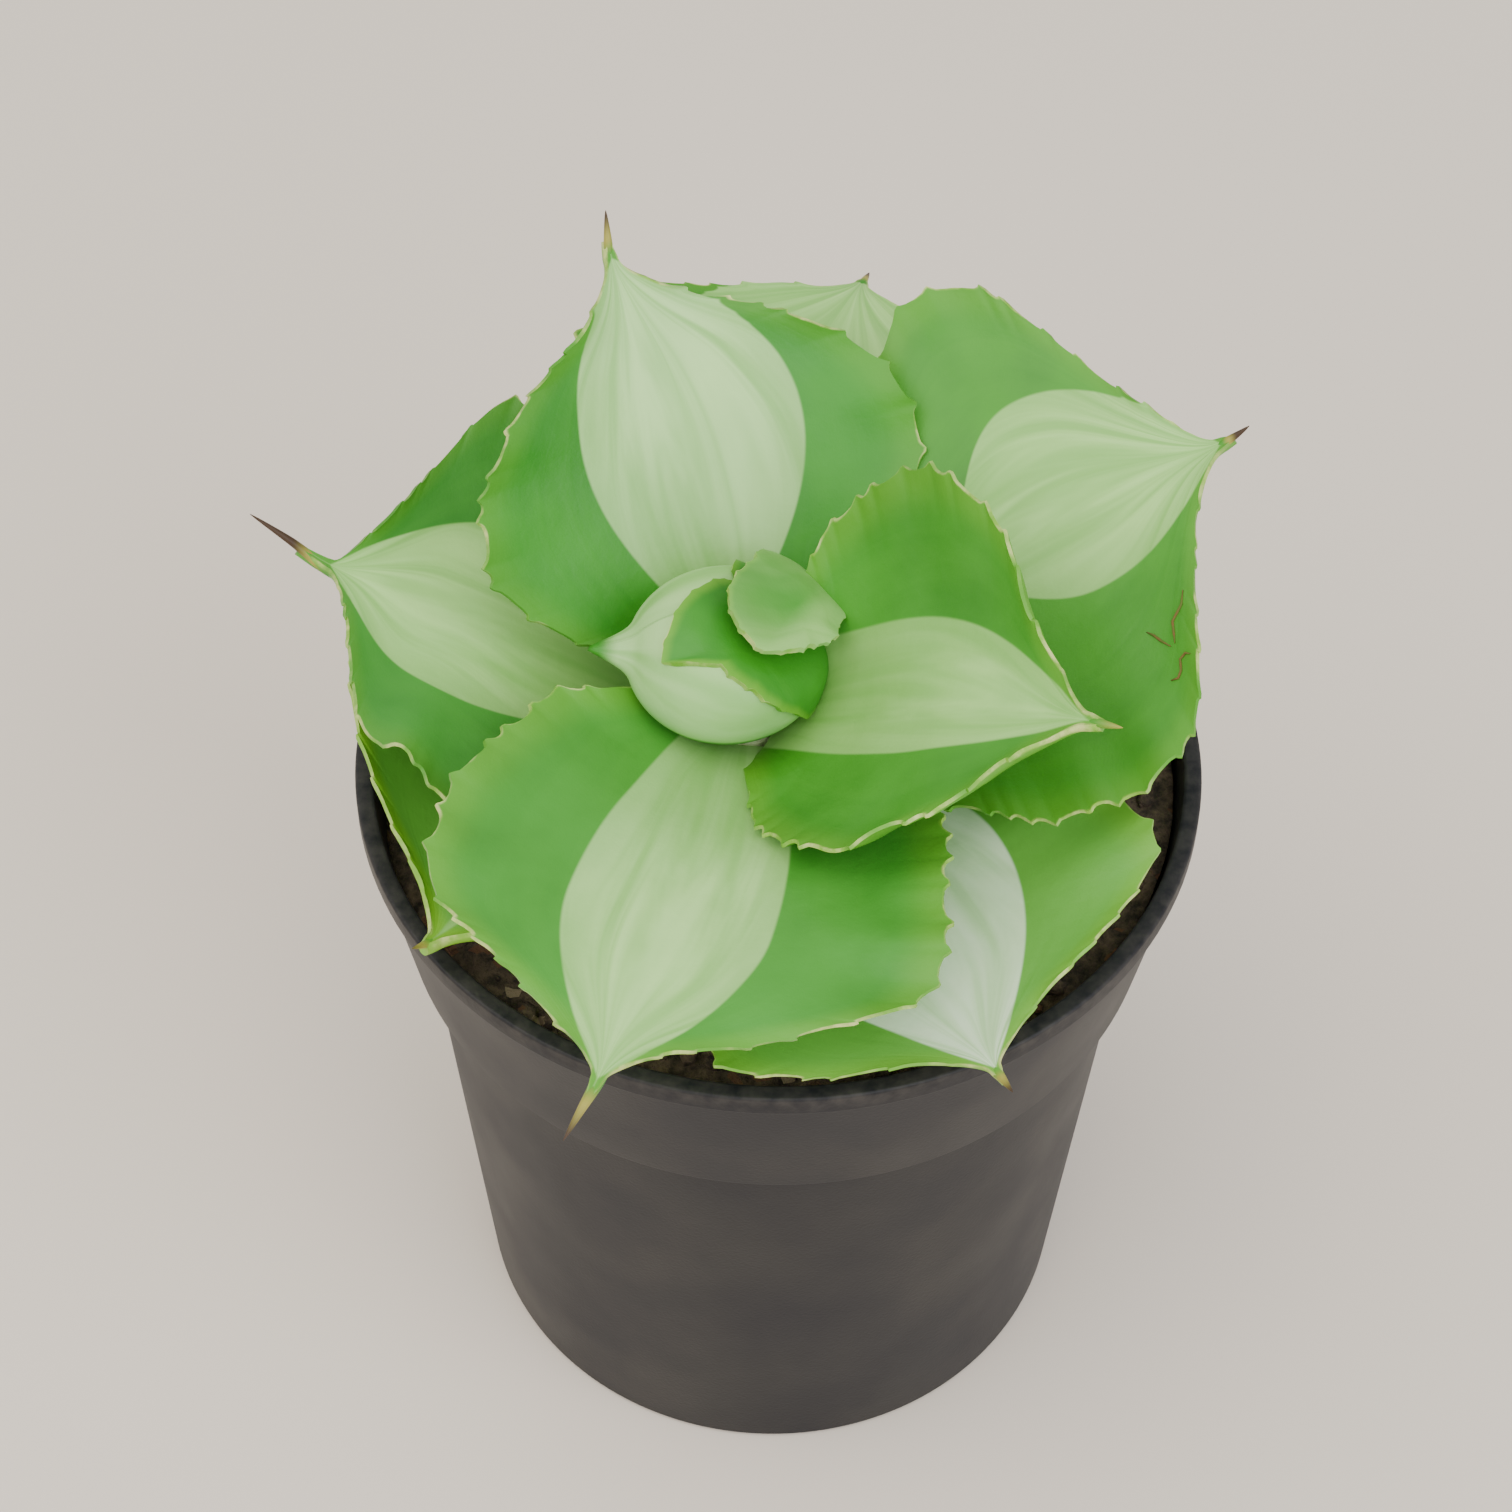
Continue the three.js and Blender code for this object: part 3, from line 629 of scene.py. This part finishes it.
def tooth(places, total, run):
    """How far the margin stands out at a place along it: sharp teeth with shallow bays between."""
    nearest = min(abs(run - place) for place in places)
    ease = smooth(0, 14, run) * smooth(4, 14, total - run)
    bay = BAY_DEPTH * smooth(0, TOOTH_SPACING / 2, nearest)
    wander = MARGIN_WANDER * noise.noise(Vector((run / 11, places[0], 0)))
    return ease * (TOOTH_HEIGHT * max(0, 1 - nearest / TOOTH_BASE) ** 1.4 - bay + wander)


def mark_width(leaf, t, side):
    """Half width of the pale mark to one side of the midrib."""
    start, widest, foot, right, left = leaf["mark"]
    if t < start:
        return 0
    greatest = leaf["half"] * (left if side > 0 else right)
    if t < widest:
        return greatest * mix(foot, 1, math.sin(math.pi / 2 * (t - start) / (widest - start)))
    return greatest * max(0, 1 - ((t - widest) / (1 - widest)) ** 2) ** 1.1


def make_blade(leaf):
    """The blade: a grid laid on the leaf's curved face, given its thickness below that face."""
    bpy.ops.object.select_all(action="DESELECT")
    bpy.ops.mesh.primitive_grid_add(x_subdivisions=COLUMNS, y_subdivisions=ROWS, size=2)
    blade = bpy.context.object
    ribs = midrib(leaf)
    shares, runs = margin_run(leaf)
    total = runs[-1]
    teeth = {side: teeth_places(total) for side in (-1, 1)}
    points, marks, rims, alongs, acrosses, bellies = [], [], [], [], [], []
    for vertex in blade.data.vertices:
        run = total * (vertex.co.y + 1) / 2
        after = next(i for i, r in enumerate(runs) if r >= run - 1e-6)
        t = shares[after]
        side = 1 if vertex.co.x > 0 else -1
        s = mix(vertex.co.x, math.sin(vertex.co.x * math.pi / 2), 0.5)
        half = blade_half(leaf, t, side)
        edged = half + tooth(teeth[side], total, run) * abs(s) ** 8
        points.append(blade_point(leaf, ribs, t, s, edged)[0])
        across = s * half
        marks.append(mark_width(leaf, t, side) - abs(across))
        rims.append((1 - abs(s)) * half)
        alongs.append(t * leaf["length"])
        acrosses.append(s * leaf["half"])
        bellies.append(mix(1, 0.5, min(1, t)) * (1 - s * s))
    put_points(blade, points)
    # Laid on the leaf the grid faces down, so it is turned over: its thickness then goes below it.
    blade.data.flip_normals()
    for name, values in (("mark", marks), ("rim", rims), ("along", alongs), ("across", acrosses)):
        write_attribute(blade, name, values)
    group = blade.vertex_groups.new(name="belly")
    for index, belly in enumerate(bellies):
        group.add([index], belly, "REPLACE")
    apply(blade, "SOLIDIFY", thickness=LEAF_BODY * MM, offset=-1, vertex_group="belly",
          thickness_vertex_group=LEAF_EDGE / LEAF_BODY)
    return blade


def make_spine(leaf):
    """The spine: a cylinder cut into rings, drawn to a point along the way the leaf ends."""
    bpy.ops.object.select_all(action="DESELECT")
    bpy.ops.mesh.primitive_cylinder_add(vertices=16, radius=1, depth=1, location=(0, 0, 0.5))
    bpy.ops.object.transform_apply(location=True)
    spine = bpy.context.object
    bpy.ops.object.mode_set(mode="EDIT")
    bpy.ops.mesh.select_all(action="DESELECT")
    bpy.ops.object.mode_set(mode="OBJECT")
    for edge in spine.data.edges:
        a, b = (spine.data.vertices[i].co.z for i in edge.vertices)
        edge.select = abs(a - b) > 0.5
    bpy.ops.object.mode_set(mode="EDIT")
    bpy.ops.mesh.select_mode(type="EDGE")
    bpy.ops.mesh.subdivide(number_cuts=14)
    bpy.ops.object.mode_set(mode="OBJECT")
    ribs = midrib(leaf)
    points, horns = [], []
    for vertex in spine.data.vertices:
        z = vertex.co.z
        t = mix(1 - SPINE_OVERLAP, 1 + reach(leaf), z)
        _, side, up = heading(leaf, t)
        radius = TIP_RADIUS * 1.15 * (1 - z) ** 0.75 + 0.05
        sunk = mix(1.15, 0.5, smooth(0.2, 0.6, z))
        centre = rib_place(ribs, t) - up * radius * sunk
        points.append(centre + (side * vertex.co.x + up * vertex.co.y) * radius)
        horns.append(leaf["horn"] * max(0, (t - 1) / reach(leaf)))
    put_points(spine, points)
    write_attribute(spine, "horn", horns)
    write_attribute(spine, "rim", [5] * len(points))
    write_attribute(spine, "mark", [-1] * len(points))
    return spine


def make_leaf(leaf):
    random.seed(leaf["name"])
    whole = join(leaf["name"] + "_blade", make_blade(leaf), make_spine(leaf))
    for tint in ("cool", "fade_and_painted_light", "bloom_and_painted_light", "gold"):
        write_attribute(whole, tint, [leaf[tint]] * len(whole.data.vertices))
    bpy.ops.object.shade_smooth_by_angle(angle=math.radians(50))
    finish(whole, LEAF_SKIN, leaf["name"])


# ---- bud ----
def bud_direction(down, bearing):
    down, bearing = math.radians(down), math.radians(bearing)
    return Vector((math.sin(down) * math.cos(bearing), math.sin(down) * math.sin(bearing), math.cos(down)))


def bud_place(direction, radius):
    x, y, z = direction * radius
    return BUD_CENTRE + Vector((x, y, z * BUD_SQUASH))


def round_middle(leaf, direction):
    """A direction as seen from a rolled leaf's middle: the way round it and the angle out, in degrees."""
    down, bearing = leaf["middle"]
    middle = bud_direction(down, bearing)
    downhill = bud_direction(down + 90, bearing)
    across = middle.cross(downhill) * -1
    out = math.degrees(middle.angle(direction, 0))
    return math.degrees(math.atan2(-direction.dot(across), direction.dot(downhill))) % 360, out


def margin_at(leaf, around):
    """The angle out to a rolled leaf's margin, in a direction round its middle."""
    margin = leaf["margin"]
    after = next((i for i, (way, _) in enumerate(margin) if way > around), 0)
    (way_a, out_a), (way_b, out_b) = margin[after - 1], margin[after]
    return mix(out_a, out_b, ((around - way_a) % 360) / ((way_b - way_a) % 360))


def wrapped_radius(direction):
    """The wrapped leaf lies on the heart, and dips into a valley round the hooded leaf."""
    around, out = round_middle(WRAPPED_LEAF, direction)
    share = min(1.2, out / margin_at(WRAPPED_LEAF, around))
    _, from_hood = round_middle(HOODED_LEAF, direction)
    return BUD_RADIUS + 0.2 + 0.9 * share ** 4 - VALLEY_DEPTH * smooth(62, 22, from_hood)


def hooded_radius(direction):
    """The hooded leaf is a small cup, whose margin stands well off the leaf under it."""
    around, out = round_middle(HOODED_LEAF, direction)
    share = min(1.2, out / margin_at(HOODED_LEAF, around))
    ruffle = 0.25 * math.sin(math.radians(around) * 7) * share ** 3
    hollow = CUP_DEPTH * smooth(28, 4, math.degrees(direction.angle(bud_direction(27, -8))))
    tucked = 1.8 * smooth(105, 75, math.degrees(direction.angle(Vector((0, 0, 1)))))
    return BUD_RADIUS + 1.2 + tucked + 0.7 * share ** 3 + ruffle - hollow


def heart_radius(direction):
    """The heart keeps under the wrapped leaf, and its tip stands out as a small nib."""
    around, out = round_middle(WRAPPED_LEAF, direction)
    inside = margin_at(WRAPPED_LEAF, around) - out
    covered = smooth(-3, 9, inside)
    radius = mix(BUD_RADIUS, wrapped_radius(direction) - ROLLED_THICKNESS - ROLLED_GAP, covered)
    off_nib = math.degrees(direction.angle(bud_direction(*NIB)))
    return radius + NIB_HEIGHT * max(0, 1 - off_nib / NIB_SPREAD) ** 2.4


def make_heart():
    bpy.ops.object.select_all(action="DESELECT")
    bpy.ops.mesh.primitive_uv_sphere_add(segments=144, ring_count=90, radius=1)
    heart = bpy.context.object
    nib = bud_direction(*NIB)
    level = nib.cross(Vector((0, 0, 1))).normalized()
    points, marks, alongs, acrosses = [], [], [], []
    for vertex in heart.data.vertices:
        direction = vertex.co.normalized()
        points.append(bud_place(direction, heart_radius(direction)))
        # It is pale all over, but for its nib and its underside.
        off_nib = math.degrees(direction.angle(nib))
        off_top = math.degrees(direction.angle(Vector((0, 0, 1))))
        marks.append(min(off_nib / 12 - 0.5, (112 - off_top) / 16))
        # Its along starts at 45 mm, so that the painted shade by a leaf's foot stays off the heart.
        alongs.append(45 + off_nib * 0.25)
        acrosses.append(BUD_RADIUS / 2 * math.atan2(direction.dot(level), direction.dot(nib.cross(level))))
    put_points(heart, points)
    for name, values in (("mark", marks), ("along", alongs), ("across", acrosses)):
        write_attribute(heart, name, values)
    write_attribute(heart, "rim", [9] * len(points))
    write_attribute(heart, "cool", [0.2] * len(points))
    write_attribute(heart, "bloom_and_painted_light", [0.15] * len(points))
    heart = join("heart", heart)
    bpy.ops.object.shade_smooth()
    finish(heart, LEAF_SKIN, "bud_heart")


def make_rolled(name, node, leaf, radius_at, mark_at, edge):
    """A rolled leaf: a grid wrapped round the leaf's middle, closed there, and given its thickness.
    The greater the edge number, the thinner the straw-coloured line along its margin."""
    bpy.ops.object.select_all(action="DESELECT")
    bpy.ops.mesh.primitive_grid_add(x_subdivisions=168, y_subdivisions=36, size=2)
    sheet = bpy.context.object
    down, bearing = leaf["middle"]
    middle = bud_direction(down, bearing)
    downhill = bud_direction(down + 90, bearing)
    across = downhill.cross(middle) * -1
    points, marks, rims, alongs, acrosses = [], [], [], [], []
    for vertex in sheet.data.vertices:
        around = (vertex.co.x + 1) * 180 % 360
        share = (vertex.co.y + 1) / 2
        limit = margin_at(leaf, around)
        out = math.radians(limit * share)
        way = math.radians(around)
        tooth_out = 0.02 * share ** 8 * max(0, math.sin(way * 19)) ** 3
        direction = middle * math.cos(out + tooth_out)
        direction += (downhill * math.cos(way) + across * math.sin(way)) * math.sin(out + tooth_out)
        points.append(bud_place(direction, radius_at(direction)))
        marks.append(mark_at(way, share))
        rims.append(math.radians(limit) * (1 - share) * BUD_RADIUS * edge)
        alongs.append(30 + share * ROLLED_PATTERN * math.cos(way))
        acrosses.append(share * ROLLED_PATTERN * math.sin(way))
    put_points(sheet, points)
    for key, values in (("mark", marks), ("rim", rims), ("along", alongs), ("across", acrosses)):
        write_attribute(sheet, key, values)
    write_attribute(sheet, "cool", [0.3] * len(points))
    write_attribute(sheet, "gold", [0.8] * len(points))
    close_seams(sheet)
    # The sheet has to face away from the bud's centre, because its thickness goes inwards.
    outward = sum(p.normal.dot(p.center - BUD_CENTRE * MM) * p.area for p in sheet.data.polygons)
    if outward < 0:
        sheet.data.flip_normals()
    apply(sheet, "SOLIDIFY", thickness=ROLLED_THICKNESS * MM, offset=-1)
    sheet = join(name, sheet)
    bpy.ops.object.shade_smooth_by_angle(angle=math.radians(50))
    finish(sheet, LEAF_SKIN, node)


def wrapped_mark(way, share):
    """The wrapped leaf shows no mark: it is green all over."""
    return -2


def hooded_mark(way, share):
    """The hooded leaf pales towards the side of it that hangs lowest."""
    return 0.45 * share * (1 + 0.7 * math.cos(way + 0.3)) - 0.15


# ---- scars ----
# Old grazes on the right-hand leaf, as (share of its length, place across it from -1 to 1).
SCARS = (
    ((0.81, -0.82), (0.795, -0.81), (0.78, -0.76), (0.765, -0.72), (0.758, -0.74), (0.75, -0.76)),
    ((0.71, -0.57), (0.72, -0.61), (0.728, -0.66), (0.74, -0.73)),
    ((0.768, -0.93), (0.76, -0.87), (0.745, -0.82), (0.737, -0.84), (0.725, -0.83), (0.71, -0.79)),
)


def make_scars(leaf):
    """Thin raised corky lines that lie on the blade."""
    ribs = midrib(leaf)
    lines = []
    for path in SCARS:
        data = bpy.data.curves.new("scar", "CURVE")
        data.dimensions = "3D"
        data.bevel_depth = SCAR_RADIUS * MM
        data.bevel_resolution = 3
        data.use_fill_caps = True
        line = data.splines.new("POLY")
        line.points.add(len(path) - 1)
        for i, (t, s) in enumerate(path):
            place, normal = blade_point(leaf, ribs, t, s, blade_half(leaf, t, -1))
            line.points[i].co = (*((place + normal * SCAR_RISE) * MM), 1)
            # It thins out at both ends.
            line.points[i].radius = 0.35 if i in (0, len(path) - 1) else 1
        obj = bpy.data.objects.new("scar", data)
        bpy.context.collection.objects.link(obj)
        select_only(obj)
        bpy.ops.object.convert(target="MESH")
        lines.append(bpy.context.object)
    scars = join("leaf_scars", *lines)
    close_seams(scars)
    bpy.ops.object.shade_smooth()
    finish(scars, SCAR_CORK, None)


make_pot()
make_soil()
make_crumbs()
for leaf in OPEN_LEAVES:
    make_leaf(leaf)
make_scars(next(leaf for leaf in OPEN_LEAVES if leaf["name"] == "outer_leaf_right"))
make_heart()
make_rolled("wrapped_leaf", "bud_leaf_wrapped", WRAPPED_LEAF, wrapped_radius, wrapped_mark, edge=4)
make_rolled("hooded_leaf", "bud_leaf_hooded", HOODED_LEAF, hooded_radius, hooded_mark, edge=10)
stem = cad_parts["stem"]
stem.data.materials.clear()
stem.data.materials.append(STEM_FLESH)


# ---- floor, lights and camera ----
def make_floor():
    bpy.ops.object.select_all(action="DESELECT")
    bpy.ops.mesh.primitive_plane_add(size=30, location=(0, 0, -0.0005))
    floor = bpy.context.object
    floor.name = "floor"
    floor.data.materials.append(pale_floor())


def add_light(name, place, size, power, tint):
    """A soft square light that is aimed at the pot."""
    data = bpy.data.lights.new(name, "AREA")
    data.size = size
    data.energy = power
    data.color = colour(tint)[:3]
    light = bpy.data.objects.new(name, data)
    light.location = place
    light.rotation_euler = (Vector((0, 0, 0.1)) - Vector(place)).to_track_quat("-Z", "Y").to_euler()
    bpy.context.collection.objects.link(light)


def add_camera():
    """From above the front, and far enough back for a long lens."""
    elevation = math.radians(CAMERA_ELEVATION)
    away = Vector((0, -math.cos(elevation), math.sin(elevation)))
    data = bpy.data.cameras.new("camera")
    data.lens = CAMERA_LENS
    camera = bpy.data.objects.new("camera", data)
    camera.location = CAMERA_TARGET + away * CAMERA_DISTANCE
    level = away.to_track_quat("Z", "Y").to_matrix()
    camera.rotation_euler = (level @ Matrix.Rotation(math.radians(CAMERA_ROLL), 3, "Z")).to_euler()
    bpy.context.collection.objects.link(camera)
    bpy.context.scene.camera = camera


make_floor()
world = bpy.data.worlds.new("soft_sky")
world.use_nodes = True
world.node_tree.nodes["Background"].inputs["Color"].default_value = colour("#eef2f6")
world.node_tree.nodes["Background"].inputs["Strength"].default_value = 0.8
bpy.context.scene.world = world
add_light("key", place=(-0.45, -0.3, 1.05), size=1.4, power=12, tint="#fffaf4")
add_light("fill", place=(0.7, -0.7, 0.75), size=1, power=10, tint="#f4f7ff")
add_camera()
